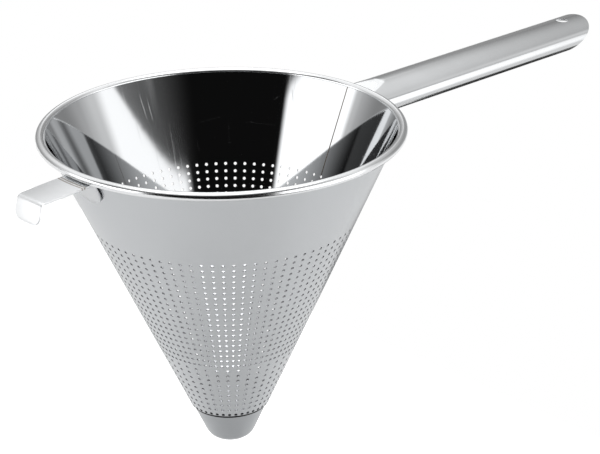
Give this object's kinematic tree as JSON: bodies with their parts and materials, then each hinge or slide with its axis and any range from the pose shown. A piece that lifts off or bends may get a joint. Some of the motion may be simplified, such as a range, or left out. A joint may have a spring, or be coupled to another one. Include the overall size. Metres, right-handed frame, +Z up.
{
  "type": "conical strainer",
  "caption": "Hand-held conical strainer with a punched sheet cone, rim ring, blind tip cap, pot-rest hook and long tube handle.",
  "frame": {"origin": "centre of the mouth, on the plane across the top of the rim ring", "axes": "+Z up the cone's axis and out of the mouth, +X along the handle, the rest hook along -X"},
  "size_m": [0.4044, 0.188, 0.1768],
  "materials": {
    "cone_sheet": "satin outside, bright inside",
    "polished_ring": "polished",
    "cap_sheet": "satin",
    "hook_strap": "satin",
    "handle_tube": "polished"
  },
  "bodies": {
    "root": {"strainer_cone": "cone_sheet", "rim_ring": "polished_ring", "tip_cap": "cap_sheet", "rest_hook": "hook_strap", "handle": "handle_tube"}
  },
  "joints": []
}
